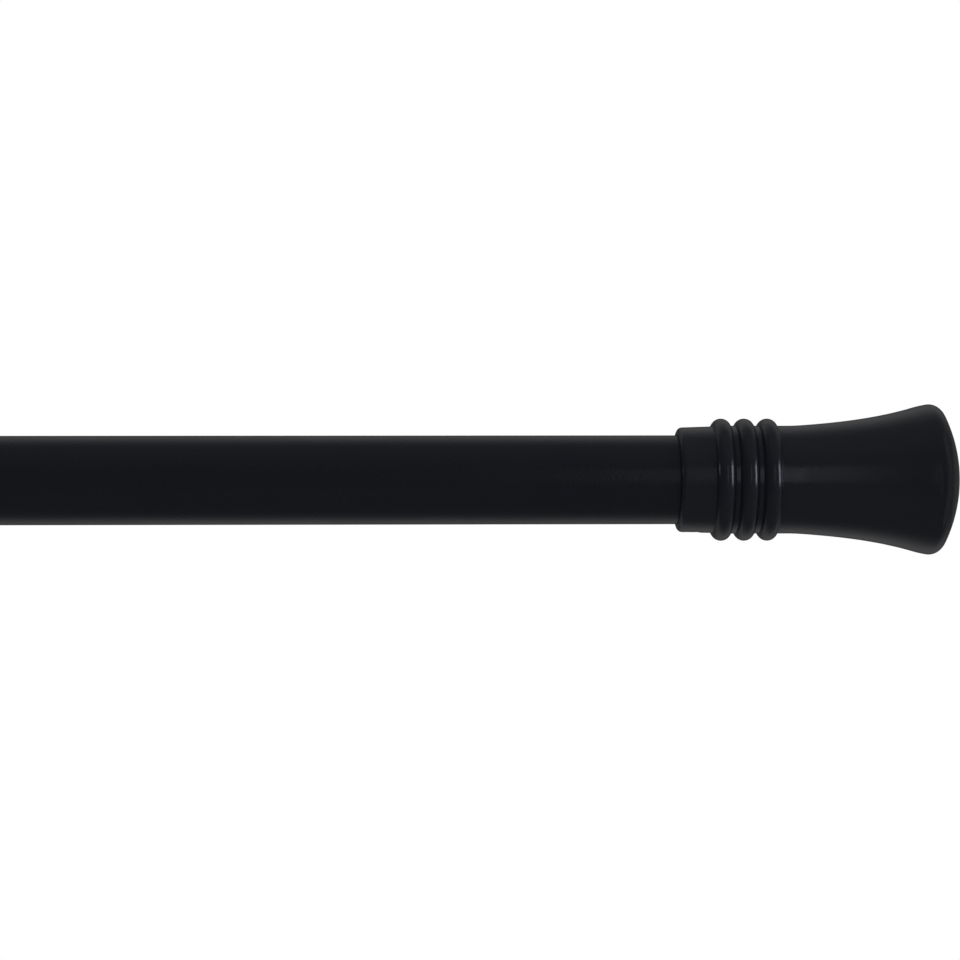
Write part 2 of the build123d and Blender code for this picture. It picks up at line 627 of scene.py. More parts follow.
@dataclass
class MeshDraft:
    """Points and faces of a mesh in the making, in millimetres.

    Attributes:
        points: the points.
        faces: the faces' corners, as indices of points.
        normals: normal at each corner of each face.
        skins: finish of each face.
    """

    points: list[Place] = field(default_factory=list)
    faces: list[tuple[int, ...]] = field(default_factory=list)
    normals: list[Place] = field(default_factory=list)
    skins: list[int] = field(default_factory=list)

    def point(self, place: Place) -> int:
        """Adds a point and returns its index."""
        self.points.append(place)
        return len(self.points) - 1

    def face(self, corners: list[int], normals: list[Place], skin: Skin) -> None:
        """Adds a face.

        Args:
            corners: its points.
            normals: normal at each corner.
            skin: its finish.
        """
        self.faces.append(tuple(corners))
        self.normals += normals
        self.skins.append(skin.value)

    def mesh(self, name: str, skins: list[bpy.types.Material], end: End, mouth_mm: float) -> bpy.types.Mesh:
        """Makes the mesh, in metres.

        Args:
            name: its name.
            skins: its finishes, in the order of Skin.
            end: RIGHT keeps the draft's direction, LEFT turns it half round Z.
            mouth_mm: where the draft's x of 0 lies on the rod.

        Returns:
            The mesh.
        """
        turn = np.array((end.value, end.value, 1.0))
        places = (np.array(self.points) * turn + (mouth_mm, 0.0, 0.0)) * MM
        mesh = bpy.data.meshes.new(name)
        mesh.from_pydata(places.tolist(), [], self.faces)
        for skin in skins:
            mesh.materials.append(skin)
        mesh.polygons.foreach_set("material_index", self.skins)
        mesh.normals_split_custom_set((np.array(self.normals) * turn).tolist())
        mesh.update()
        return mesh


@dataclass(frozen=True)
class ScrewHole:
    """Round hole along Z through the underside of a turned wall.

    Attributes:
        x_mm: its place along the rod.
        radius_mm: its radius.
        chamfer_mm: width of its broken edge.
        reach_mm: half length of the patch of wall that is meshed round it.
        rows: parts of that patch along the rod.
        columns: parts of that patch round the rod.
    """

    x_mm: float
    radius_mm: float
    chamfer_mm: float = 0.2
    reach_mm: float = 3.2
    rows: int = 12
    columns: int = 12

    def open_columns(self, segments: int) -> range:
        """Columns of a whole turn that the patch takes, with the underside in their middle."""
        underside = segments * 3 // 4
        return range(underside - self.columns // 2, underside + self.columns // 2)

    def cut(self, draft: MeshDraft, outside: list[list[int]], inside: list[list[int]], segments: int) -> None:
        """Meshes both patches and the hole between them.

        Args:
            draft: mesh to add to, which is open where the patches go.
            outside: rings of the outer patch, in the order of x.
            inside: rings of the inner patch, in the order of x.
            segments: number of steps round the rod.
        """
        columns = self.open_columns(segments)
        outer, inner = (self.border(rings, columns) for rings in (outside, inside))
        rim = [draft.point(self.on_wall(draft, k, self.radius_mm + self.chamfer_mm)) for k in outer]
        edge = [draft.point(self.sunk(self.on_wall(draft, k, self.radius_mm))) for k in outer]
        foot = [draft.point(self.on_wall(draft, k, self.radius_mm)) for k in inner]
        bands = (
            (outer, rim, self.away_from_axis, Skin.COATED),
            (rim, edge, self.broken_edge, Skin.COATED),
            (edge, foot, self.into_hole, Skin.BARE),
            (foot, inner, self.towards_axis, Skin.BARE),
        )
        for first, second, normal, skin in bands:
            for k in range(len(first)):
                n = (k + 1) % len(first)
                corners = [first[k], first[n], second[n], second[k]]
                draft.face(corners, [normal(draft.points[c]) for c in corners], skin)

    def border(self, rings: list[list[int]], columns: range) -> list[int]:
        """Walks round a patch.

        Args:
            rings: its rings, in the order of x.
            columns: its columns.

        Returns:
            The points on its border.
        """
        low, high = columns.start, columns.stop
        return (
            [rings[0][j] for j in range(low, high)]
            + [ring[high] for ring in rings[:-1]]
            + [rings[-1][j] for j in range(high, low, -1)]
            + [ring[low] for ring in rings[:0:-1]]
        )

    def on_wall(self, draft: MeshDraft, index: int, radius: float) -> Place:
        """Point of a circle round the hole, on the same wall as a point of the patch's border.

        Args:
            draft: mesh that holds the border's point.
            index: the border's point.
            radius: radius of the circle.

        Returns:
            The place.
        """
        x, y, z = draft.points[index]
        share = radius / math.hypot(x - self.x_mm, y)
        wall = math.hypot(y, z)
        across = y * share
        return (self.x_mm + (x - self.x_mm) * share, across, -math.sqrt(wall**2 - across**2))

    def sunk(self, place: Place) -> Place:
        """A place moved into the wall by the chamfer's depth."""
        return (place[0], place[1], place[2] + self.chamfer_mm)

    def away_from_axis(self, place: Place) -> Place:
        """Normal of the outer wall."""
        radius = math.hypot(place[1], place[2])
        return (0.0, place[1] / radius, place[2] / radius)

    def towards_axis(self, place: Place) -> Place:
        """Normal of the inner wall."""
        x, y, z = self.away_from_axis(place)
        return (-x, -y, -z)

    def into_hole(self, place: Place) -> Place:
        """Normal of the hole's side."""
        away = math.hypot(place[0] - self.x_mm, place[1])
        return ((self.x_mm - place[0]) / away, -place[1] / away, 0.0)

    def broken_edge(self, place: Place) -> Place:
        """Normal of the chamfer."""
        mixed = Vector(self.away_from_axis(place)) + Vector(self.into_hole(place))
        return tuple(mixed.normalized())


@dataclass(frozen=True)
class Turning:
    """Turns a profile about X.

    Attributes:
        runs: the profile's smooth stretches, in walking order.
        segments: number of steps round the rod.
        slot_mm: width of a slot along the top, or 0 for a whole turn.
        hole: screw hole through the pierced runs, if any.
    """

    runs: list[Run]
    segments: int = 192
    slot_mm: float = 0.0
    hole: ScrewHole | None = None

    def draft(self) -> MeshDraft:
        """Makes the closed mesh.

        Returns:
            Its draft.
        """
        draft = MeshDraft()
        rays = [(math.cos(a), math.sin(a)) for a in self.angles()]
        stations: list[Point] = []
        rings: list[list[int]] = []
        pierced: list[list[list[int]]] = []
        for run in self.runs:
            row = [self.ring(draft, stations, rings, point, rays) for point in run.points]
            for k in range(len(row) - 1):
                self.strip(draft, run, k, rings[row[k]], rings[row[k + 1]], rays)
            if run.pierced:
                pierced.append([rings[k] for k in row])
        if self.slot_mm:
            # The slot's two walls
            for column, way in ((0, 1), (-1, -1)):
                corners = [ring[column] for ring in rings]
                draft.face(corners[::way], [(0.0, float(way), 0.0)] * len(corners), Skin.COATED)
        if self.hole:
            outside, inside = pierced
            self.hole.cut(draft, outside, inside[::-1], self.segments)
        return draft

    def angles(self) -> np.ndarray:
        """Angles of the columns.

        Returns:
            The angles in radians, which stop short of the top on both sides of a slot.
        """
        if not self.slot_mm:
            return np.radians(np.arange(self.segments) * WHOLE_TURN / self.segments)
        radii = [point[1] for run in self.runs for point in run.points]
        gap = math.asin(self.slot_mm / (min(radii) + max(radii)))
        top = math.tau / 4
        return np.linspace(top + gap, top + math.tau - gap, self.segments + 1)

    def ring(
        self, draft: MeshDraft, stations: list[Point], rings: list[list[int]], point: Point, rays: list[Point]
    ) -> int:
        """Finds or adds the ring of points at a station.

        Args:
            draft: mesh to add to.
            stations: x and radius of the rings so far.
            rings: points of the rings so far.
            point: x and radius of this one.
            rays: cosine and sine of each column's angle.

        Returns:
            The ring's index. Only the last ring and the first one are shared.
        """
        for index in (len(stations) - 1, 0):
            if stations and math.dist(stations[index], point) < TOUCHING:
                return index
        x, r = point
        stations.append(point)
        if r < TOUCHING:
            rings.append([draft.point((x, 0.0, 0.0))] * len(rays))
        else:
            rings.append([draft.point((x, r * c, r * s)) for c, s in rays])
        return len(rings) - 1

    def strip(
        self, draft: MeshDraft, run: Run, k: int, first: list[int], second: list[int], rays: list[Point]
    ) -> None:
        """Adds the faces between two rings, apart from those that the hole's patch takes.

        Args:
            draft: mesh to add to.
            run: the run they belong to.
            k: index of the first ring in the run.
            first: points of the first ring.
            second: points of the second ring.
            rays: cosine and sine of each column's angle.
        """
        count = len(rays)
        skipped = self.hole.open_columns(self.segments) if run.pierced else range(0)
        for j in range(count - 1 if self.slot_mm else count):
            if j in skipped:
                continue
            n = (j + 1) % count
            corners = [(first[j], k, j), (first[n], k, n), (second[n], k + 1, n), (second[j], k + 1, j)]
            if first[j] == first[n]:
                corners.pop(1)
            if second[j] == second[n]:
                corners.pop()
            normals = [self.spun(run.normals[station], rays[column]) for _, station, column in corners]
            draft.face([corner[0] for corner in corners], normals, run.skin)

    def spun(self, normal: Point, ray: Point) -> Place:
        """A profile's normal, turned to a column's angle."""
        return (normal[0], normal[1] * ray[0], normal[1] * ray[1])


# Sub-assemblies of the rod


@dataclass(frozen=True)
class Extent:
    """Where a CAD node lies, in millimetres.

    Attributes:
        low: its left end along the rod.
        high: its right end along the rod.
        radius: its largest distance from the rod's axis.
    """

    low: float
    high: float
    radius: float

    @staticmethod
    def of(node: str) -> "Extent":
        """Measures a node of the frame.

        Args:
            node: its name.

        Returns:
            Its extent.
        """
        low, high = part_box(node)
        radius = max(math.hypot(v.co.y, v.co.z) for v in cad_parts[node].data.vertices)
        return Extent(low.x / MM, high.x / MM, radius / MM)


class Assembly:
    """What each sub-assembly does with its pieces."""

    def put(
        self,
        node: str,
        draft: MeshDraft,
        skins: list[bpy.types.Material],
        body: Body,
        slot: Slot,
        end: End = End.RIGHT,
        mouth_mm: float = 0.0,
    ) -> bpy.types.Object:
        """Adds a piece that stands for a CAD node.

        Args:
            node: the CAD node's name.
            draft: the piece's mesh in the making.
            skins: its finishes, in the order of Skin.
            body: body that it rides on.
            slot: material slot of the record; not used.
            end: which way round the draft lies on the rod.
            mouth_mm: where the draft's x of 0 lies on the rod.

        Returns:
            The piece.
        """
        mesh = draft.mesh(f"{node}_skin", skins, end, mouth_mm)
        piece = add_object(mesh.name, mesh)
        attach(piece, body.value)
        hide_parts(node)
        return piece

    def dress(self, node: str, material: bpy.types.Material) -> bpy.types.Object:
        """Gives a CAD node that stays a better finish.

        Args:
            node: its name.
            material: the finish.

        Returns:
            The node's object.
        """
        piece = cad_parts[node]
        piece.data.materials.clear()
        piece.data.materials.append(material)
        return piece


@dataclass
class OuterSection(Assembly):
    """Outer tube with the bush in its mouth. Sizes in millimetres.

    Attributes:
        wall: thickness of the tube.
        spigot: length of its reduced end.
        swage: drop in radius there.
        swage_run: length over which it drops.
        cut_round: round on the tube's cut edges.
        swage_round: round at the top and foot of the drop.
        flange_round: round on the flange's front edge.
        bush_wall: thickness of the bush.
        bush_play: gap between bush and tube.
        lead_in: chamfer at the bush's opening.
    """

    wall: float = 0.8
    spigot: float = 27.0
    swage: float = 0.35
    swage_run: float = 0.4
    cut_round: float = 0.12
    swage_round: float = 0.3
    flange_round: float = 0.4
    bush_wall: float = 0.72
    bush_play: float = 0.03
    lead_in: float = 0.3

    def build(self, finishes: Finishes) -> list[bpy.types.Object]:
        """Builds tube and bush.

        Args:
            finishes: the rod's finishes.

        Returns:
            The pieces.
        """
        tube = Turning(self.tube_profile()).draft()
        bush = Turning(self.bush_profile()).draft()
        tube_skins = [finishes.outer_coat, finishes.bare_steel]
        return [
            self.put("outer_tube", tube, tube_skins, Body.OUTER, Slot.TUBE_COAT),
            self.put("mouth_bush", bush, [finishes.nylon], Body.OUTER, Slot.NYLON),
        ]

    def tube_profile(self) -> list[Run]:
        """Half section of the tube, bare inside and on its right cut end.

        Returns:
            The runs.
        """
        tube = Extent.of("outer_tube")
        spigot_x = tube.high - self.spigot
        swage_x = spigot_x + self.swage_run
        bore = tube.radius - self.wall
        spigot_r = tube.radius - self.swage
        corners = [
            (tube.low, bore),
            (tube.low, tube.radius),
            (spigot_x, tube.radius),
            (swage_x, spigot_r),
            (tube.high, spigot_r),
            (tube.high, spigot_r - self.wall),
            (swage_x, spigot_r - self.wall),
            (spigot_x, bore),
        ]
        rounds = {i: self.cut_round for i in (1, 4, 5)} | {i: self.swage_round for i in (2, 3)}
        return Run.polygon(corners, rounds, bare=(4, 5, 6, 7))

    def bush_profile(self) -> list[Run]:
        """Half section of the bush.

        Returns:
            The runs.
        """
        bush = Extent.of("mouth_bush")
        tube = Extent.of("outer_tube")
        outside = tube.radius - self.wall - self.bush_play
        bore = outside - self.bush_wall
        corners = [
            (bush.low, bore + self.lead_in),
            (bush.low, bush.radius),
            (tube.low, bush.radius),
            (tube.low, outside),
            (bush.high, outside),
            (bush.high, bore),
            (bush.low + self.lead_in, bore),
        ]
        rounds = {1: self.flange_round, 2: self.cut_round, 4: self.lead_in, 6: self.lead_in / 2}
        return Run.polygon(corners, rounds)


@dataclass
class InnerSection(Assembly):
    """Inner tube with its guide ring and the sleeve under the left finial. Sizes in millimetres.

    Attributes:
        wall: thickness of the tube.
        cut_round: round on the tube's cut edges.
        groove_depth: depth of the rolled groove that holds the ring.
        groove_round: round on the groove's edges.
        ring_play: gap at each side of the ring.
        ring_clearance: gap between the ring and the groove's floor.
        ring_slot: width of the ring's slot.
        ring_round: round on the ring's outer edges.
        sleeve_slot: width of the sleeve's slot.
        sleeve_play: gap between sleeve and tube.
        sleeve_round: round on the sleeve's outer edges.
    """

    wall: float = 0.8
    cut_round: float = 0.12
    groove_depth: float = 0.4
    groove_round: float = 0.12
    ring_play: float = 0.2
    ring_clearance: float = 0.05
    ring_slot: float = 2.5
    ring_round: float = 0.25
    sleeve_slot: float = 2.0
    sleeve_play: float = 0.03
    sleeve_round: float = 0.2

    def build(self, finishes: Finishes) -> list[bpy.types.Object]:
        """Builds tube, ring and sleeve.

        Args:
            finishes: the rod's finishes.

        Returns:
            The pieces.
        """
        radius = Extent.of("inner_tube").radius
        ring_bore = radius - self.groove_depth + self.ring_clearance
        sleeve_bore = radius + self.sleeve_play
        ring_profile = self.band("guide_ring", ring_bore, self.ring_round)
        sleeve_profile = self.band("reducing_sleeve", sleeve_bore, self.sleeve_round)
        tube = Turning(self.tube_profile()).draft()
        ring = Turning(ring_profile, slot_mm=self.ring_slot).draft()
        sleeve = Turning(sleeve_profile, slot_mm=self.sleeve_slot).draft()
        tube_skins = [finishes.inner_coat, finishes.bare_steel]
        return [
            self.put("inner_tube", tube, tube_skins, Body.INNER, Slot.TUBE_COAT),
            self.put("guide_ring", ring, [finishes.nylon], Body.GLIDE, Slot.NYLON),
            self.put("reducing_sleeve", sleeve, [finishes.nylon], Body.INNER, Slot.NYLON),
        ]

    def tube_profile(self) -> list[Run]:
        """Half section of the tube, bare inside and on its cut ends.

        Returns:
            The runs.
        """
        tube, ring = Extent.of("inner_tube"), Extent.of("guide_ring")
        bore = tube.radius - self.wall
        floor = tube.radius - self.groove_depth
        low, high = ring.low - self.ring_play, ring.high + self.ring_play
        corners = [
            (tube.low, bore),
            (tube.low, tube.radius),
            (low, tube.radius),
            (low, floor),
            (high, floor),
            (high, tube.radius),
            (tube.high, tube.radius),
            (tube.high, bore),
            (high + self.wall, bore),
            (high + self.wall, floor - self.wall),
            (low - self.wall, floor - self.wall),
            (low - self.wall, bore),
        ]
        rounds = {i: self.groove_round for i in (2, 3, 4, 5)} | {i: self.cut_round for i in (0, 1, 6, 7)}
        return Run.polygon(corners, rounds, bare=(0, 6, 7, 8, 9, 10, 11))

    def band(self, node: str, inside: float, edge: float) -> list[Run]:
        """Half section of a plain split ring.

        Args:
            node: CAD node that it stands for.
            inside: its inner radius.
            edge: round on its outer edges.

        Returns:
            The runs.
        """
        band = Extent.of(node)
        corners = [(band.low, inside), (band.low, band.radius), (band.high, band.radius), (band.high, inside)]
        return Run.polygon(corners, {1: edge, 2: edge})


@dataclass
class FinialEnd(Assembly):
    """Trumpet finial with its grub screw. Sizes in millimetres, counted from the mouth of its collar.

    Attributes:
        end: which end of the rod it sits on.
        socket_r: radius of the socket that takes the tube.
        socket_length: depth of that socket.
        mouth_widening: how much wider the socket's opening is, with a chamfer of the same length.
        collar_r: radius of the collar at its mouth.
        collar_length: length of the collar.
        collar_rise: how much the collar widens towards the beads.
        mouth_round: round on the collar's mouth.
        bead_count: number of beads.
        bead_length: length of a bead.
        bead_height: height of a bead over the neck.
        bead_land: flat between two beads.
        root_round: hollow at the foot of a bead.
        neck_r: radius of the neck.
        neck_length: length of the neck.
        neck_blend: half length of the hollow between neck and flare.
        flare_angle: slope with which the flare starts.
        shoulder_radius: radius of the shoulder under the rim.
        shoulder_angle: slope with which the shoulder starts.
        rim_round: round on the rim.
        rim_angle: slope with which the rim's round starts.
        dome_height: height of the dome over the widest point.
        core_step: shoulder that stops the tube.
        core_draft: taper of the core in degrees.
        core_round: round at the core's end.
        tip_wall: wall between core and tip.
        screw_radius: radius of the screw hole.
    """

    end: End
    socket_r: float = 12.43
    socket_length: float = 27.1
    mouth_widening: float = 0.6
    collar_r: float = 14.97
    collar_length: float = 9.93
    collar_rise: float = 0.27
    mouth_round: float = 1.5
    bead_count: int = 3
    bead_length: float = 5.33
    bead_height: float = 2.04
    bead_land: float = 1.28
    root_round: float = 0.12
    neck_r: float = 15.43
    neck_length: float = 5.37
    neck_blend: float = 2.5
    flare_angle: float = 4.3
    shoulder_radius: float = 31.0
    shoulder_angle: float = 16.3
    rim_round: float = 3.85
    rim_angle: float = 9.0
    dome_height: float = 8.2
    core_step: float = 0.9
    core_draft: float = 1.0
    core_round: float = 3.0
    tip_wall: float = 10.0
    screw_radius: float = 2.03

    def build(self, finishes: Finishes) -> list[bpy.types.Object]:
        """Builds the casting and dresses its screw.

        Args:
            finishes: the rod's finishes.

        Returns:
            The pieces.
        """
        extent = self.extent()
        length = extent.high - extent.low
        hole = ScrewHole(self.collar_length / 2, self.screw_radius)
        runs = self.outside(length, extent.radius, hole) + self.inside(length, hole)
        draft = Turning(runs, hole=hole).draft()
        skins = [finishes.finial_coat, finishes.bare_casting]
        body = Body[f"{self.end.name}_END"]
        return [
            self.put(self.node("finial"), draft, skins, body, Slot.FINIAL_COAT, self.end, self.mouth()),
            self.dress(self.node("grub_screw"), finishes.screw_steel),
        ]

    def node(self, piece: str) -> str:
        """Name of one of the CAD nodes at this end."""
        return f"{self.end.name.lower()}_{piece}"

    def extent(self) -> Extent:
        """Where the casting lies on the rod."""
        return Extent.of(self.node("finial"))

    def mouth(self) -> float:
        """Where the collar's mouth lies on the rod."""
        extent = self.extent()
        return extent.low if self.end is End.RIGHT else extent.high

    def beads_end(self) -> float:
        """Where the last bead ends, from the mouth."""
        return self.collar_length + self.bead_count * (self.bead_length + self.bead_land) - self.bead_land

    def beads_middle(self) -> float:
        """Where the middle of the row of beads lies on the rod."""
        return self.mouth() + self.end.value * (self.collar_length + self.beads_end()) / 2

    def outside(self, length: float, rim_r: float, hole: ScrewHole) -> list[Run]:
        """Outer half of the section, from the socket's opening to the tip.

        Args:
            length: length of the casting.
            rim_r: its widest radius.
            hole: the screw hole in the collar.

        Returns:
            The runs.
        """
        round_r = self.collar_r - self.mouth_round
        beads = self.beads()
        return [
            Run.line((0.0, self.socket_r + self.mouth_widening), (0.0, round_r)),
            Run.arc((self.mouth_round, round_r), self.mouth_round, BACK, OUTWARD, CORNER_STEPS),
            *self.pierced_line((self.mouth_round, self.collar_r), beads[0].points[0], hole, 1),
            *beads,
            *self.flare(beads[-1].points[-1], length, rim_r),
        ]

    def pierced_line(self, start: Point, end: Point, hole: ScrewHole, way: int) -> list[Run]:
        """Straight stretch with the screw hole's patch in it.

        Args:
            start: first point.
            end: last point.
            hole: the screw hole.
            way: 1 if the stretch runs along +X, -1 if it runs back.

        Returns:
            The runs before, at and after the patch.
        """
        stops = [hole.x_mm - way * hole.reach_mm, hole.x_mm + way * hole.reach_mm]
        slope = (end[1] - start[1]) / (end[0] - start[0])
        before, after = ((x, start[1] + slope * (x - start[0])) for x in stops)
        patch = replace(Run.line(before, after, hole.rows), pierced=True)
        return [Run.line(start, before), patch, Run.line(after, end)]

    def beads(self) -> list[Run]:
        """The beads with the hollows at their feet and the flats between them.

        Returns:
            The runs.
        """
        half = self.bead_length / 2
        bead_r = (half**2 + self.bead_height**2) / (2 * self.bead_height)
        middle_r = self.neck_r + self.bead_height - bead_r
        runs: list[Run] = []
        for i in range(self.bead_count):
            middle = (self.collar_length + half + i * (self.bead_length + self.bead_land), middle_r)
            left_foot_r = self.neck_r if runs else self.collar_r + self.collar_rise
            left, left_up, left_angle = self.root(middle, bead_r, left_foot_r)
            right, right_up, right_angle = self.root(middle, bead_r, self.neck_r)
            left_root = (middle[0] - left, middle_r + left_up)
            right_root = (middle[0] + right, middle_r + right_up)
            if runs:
                runs.append(Run.line(runs[-1].points[-1], (left_root[0], self.neck_r)))
            runs += [
                Run.arc(left_root, self.root_round, INWARD, -left_angle, FOOT_STEPS),
                Run.arc(middle, bead_r, BACK - left_angle, right_angle, SWEEP_STEPS),
                Run.arc(right_root, self.root_round, BACK + right_angle, INWARD + WHOLE_TURN, FOOT_STEPS),
            ]
        return runs

    def root(self, middle: Point, bead_r: float, foot_r: float) -> tuple[float, float, float]:
        """Places the hollow between a bead and the surface that it stands on.

        Args:
            middle: centre of the bead's arc.
            bead_r: radius of the bead's arc.
            foot_r: radius of the surface.

        Returns:
            The hollow's centre from the bead's, along and across, and the angle between them in degrees.
        """
        across = foot_r + self.root_round - middle[1]
        along = math.sqrt((bead_r + self.root_round) ** 2 - across**2)
        return along, across, math.degrees(math.atan2(across, along))

    def flare(self, start: Point, length: float, rim_r: float) -> list[Run]:
        """Neck, flare, shoulder, rim and dome.

        Args:
            start: foot of the last bead.
            length: length of the casting.
            rim_r: its widest radius.

        Returns:
            The runs.
        """
        neck = (self.beads_end() + self.neck_length - self.neck_blend, self.neck_r)
        hollow_r = self.neck_blend / steepness(self.flare_angle / 2)
        hollow_center = (neck[0], self.neck_r + hollow_r)
        hollow = Run.arc(hollow_center, hollow_r, INWARD, INWARD + self.flare_angle, CORNER_STEPS)

        rim_center = (length - self.dome_height, rim_r - self.rim_round)
        rim_start = self.on_slope(rim_center, self.rim_round, self.rim_angle)
        shoulder_center = self.on_slope(rim_start, -self.shoulder_radius, self.rim_angle)
        low = hollow.points[-1]
        high = self.on_slope(shoulder_center, self.shoulder_radius, self.shoulder_angle)
        reach = (high[0] - low[0]) / 3
        handles = (
            low,
            (low[0] + reach, low[1] + reach * steepness(self.flare_angle)),
            (high[0] - reach, high[1] - reach * steepness(self.shoulder_angle)),
            high,
        )

        rise = self.dome_height - self.rim_round
        dome_r = (self.dome_height**2 + rim_center[1] ** 2 - self.rim_round**2) / (2 * rise)
        dome_center = (length - dome_r, 0.0)
        blend = math.degrees(math.atan2(rim_center[1], rim_center[0] - dome_center[0]))
        shoulder_start, shoulder_end = OUTWARD + self.shoulder_angle, OUTWARD + self.rim_angle
        return [
            Run.line(start, neck),
            hollow,
            Run.curve(handles, SWEEP_STEPS),
            Run.arc(shoulder_center, self.shoulder_radius, shoulder_start, shoulder_end, SHOULDER_STEPS),
            Run.arc(rim_center, self.rim_round, shoulder_end, blend, DOME_STEPS),
            Run.arc(dome_center, dome_r, blend, AHEAD, DOME_STEPS),
        ]

    def on_slope(self, center: Point, radius: float, slope: float) -> Point:
        """Point of an arc where it climbs at the given angle; from there, -radius leads to the centre."""
        angle = math.radians(OUTWARD + slope)
        return (center[0] + radius * math.cos(angle), center[1] + radius * math.sin(angle))

    def inside(self, length: float, hole: ScrewHole) -> list[Run]:
        """Bare inner half of the section, from the core's end back to the socket's opening.

        Args:
            length: length of the casting.
            hole: the screw hole in the collar.

        Returns:
            The runs.
        """
        core_end = length - self.tip_wall
        core_r = self.socket_r - self.core_step
        tip_r = core_r - (core_end - self.socket_length) * steepness(self.core_draft)
        corner = (core_end - self.core_round, tip_r - self.core_round)
        stop = (self.socket_length, core_r)
        seat = (self.socket_length, self.socket_r)
        lead_in = (self.mouth_widening, self.socket_r)
        runs = [
            Run.line((core_end, 0.0), (core_end, corner[1])),
            Run.arc(corner, self.core_round, AHEAD, OUTWARD, CORNER_STEPS),
            Run.line((corner[0], tip_r), stop),
            Run.line(stop, seat),
            *self.pierced_line(seat, lead_in, hole, -1),
            Run.line(lead_in, (0.0, self.socket_r + self.mouth_widening)),
        ]
        return [replace(run, skin=Skin.BARE) for run in runs]


# Studio


@dataclass(frozen=True)
class Softbox:
    """Soft lamp that faces the beads of a finial.

    Attributes:
        name: its name.
        way: its direction in degrees, from the camera's side towards the right and above the rod.
        distance: its distance in metres.
        size: its width and height in metres.
        radiance: brightness of its front.
        end: which finial it faces.
        color: its tint.
    """

    name: str
    way: Point
    distance: float
    size: Point
    radiance: float
    end: End = End.RIGHT
    color: Color = (0.93, 1.0, 1.13)

    def add(self, target: Vector) -> bpy.types.Object:
        """Adds the lamp, which the camera doesn't see.

        Args:
            target: point that it faces.

        Returns:
            The lamp.
        """
        side, up = (math.radians(angle) for angle in self.way)
        way = Vector((math.sin(side) * math.cos(up), -math.cos(side) * math.cos(up), math.sin(up)))
        light = bpy.data.lights.new(self.name, "AREA")
        light.shape = "RECTANGLE"
        light.size, light.size_y = self.size
        light.energy = self.radiance * math.pi * math.prod(self.size)
        light.color = self.color
        lamp = add_object(self.name, light)
        lamp.location = target + way * self.distance
        lamp.rotation_euler = way.to_track_quat("Z", "Y").to_euler()
        lamp.visible_camera = False
        return lamp


@dataclass(frozen=True)
class Flag:
    """Upright grey card near the right tip. Sizes in millimetres.

    Attributes:
        name: its name.
        start: one edge in plan, along the rod from the tip and towards the camera from the rod's axis.
        stop: its other edge.
        height: its height.
        grey: linear base colour.
        roughness: its roughness.
    """

    name: str
    start: Point
    stop: Point
    height: float
    grey: float
    roughness: float = 1.0

    def add(self, tip_mm: float) -> bpy.types.Object:
        """Adds the card, which the camera doesn't see.

        Args:
            tip_mm: where the rod ends along X.

        Returns:
            The card.
        """
        top = self.height / 2
        walk = ((self.start, -top), (self.stop, -top), (self.stop, top), (self.start, top))
        corners = [((tip_mm + plan[0]) * MM, -plan[1] * MM, z * MM) for plan, z in walk]
        mesh = bpy.data.meshes.new(self.name)
        mesh.from_pydata(corners, [], [tuple(range(len(corners)))])
        material, nodes = new_material(self.name)
        color = (self.grey, self.grey, self.grey, 1.0)
        nodes.surface({"Base Color": color, "Roughness": self.roughness})
        mesh.materials.append(material)
        card = add_object(self.name, mesh)
        card.visible_camera = False
        return card


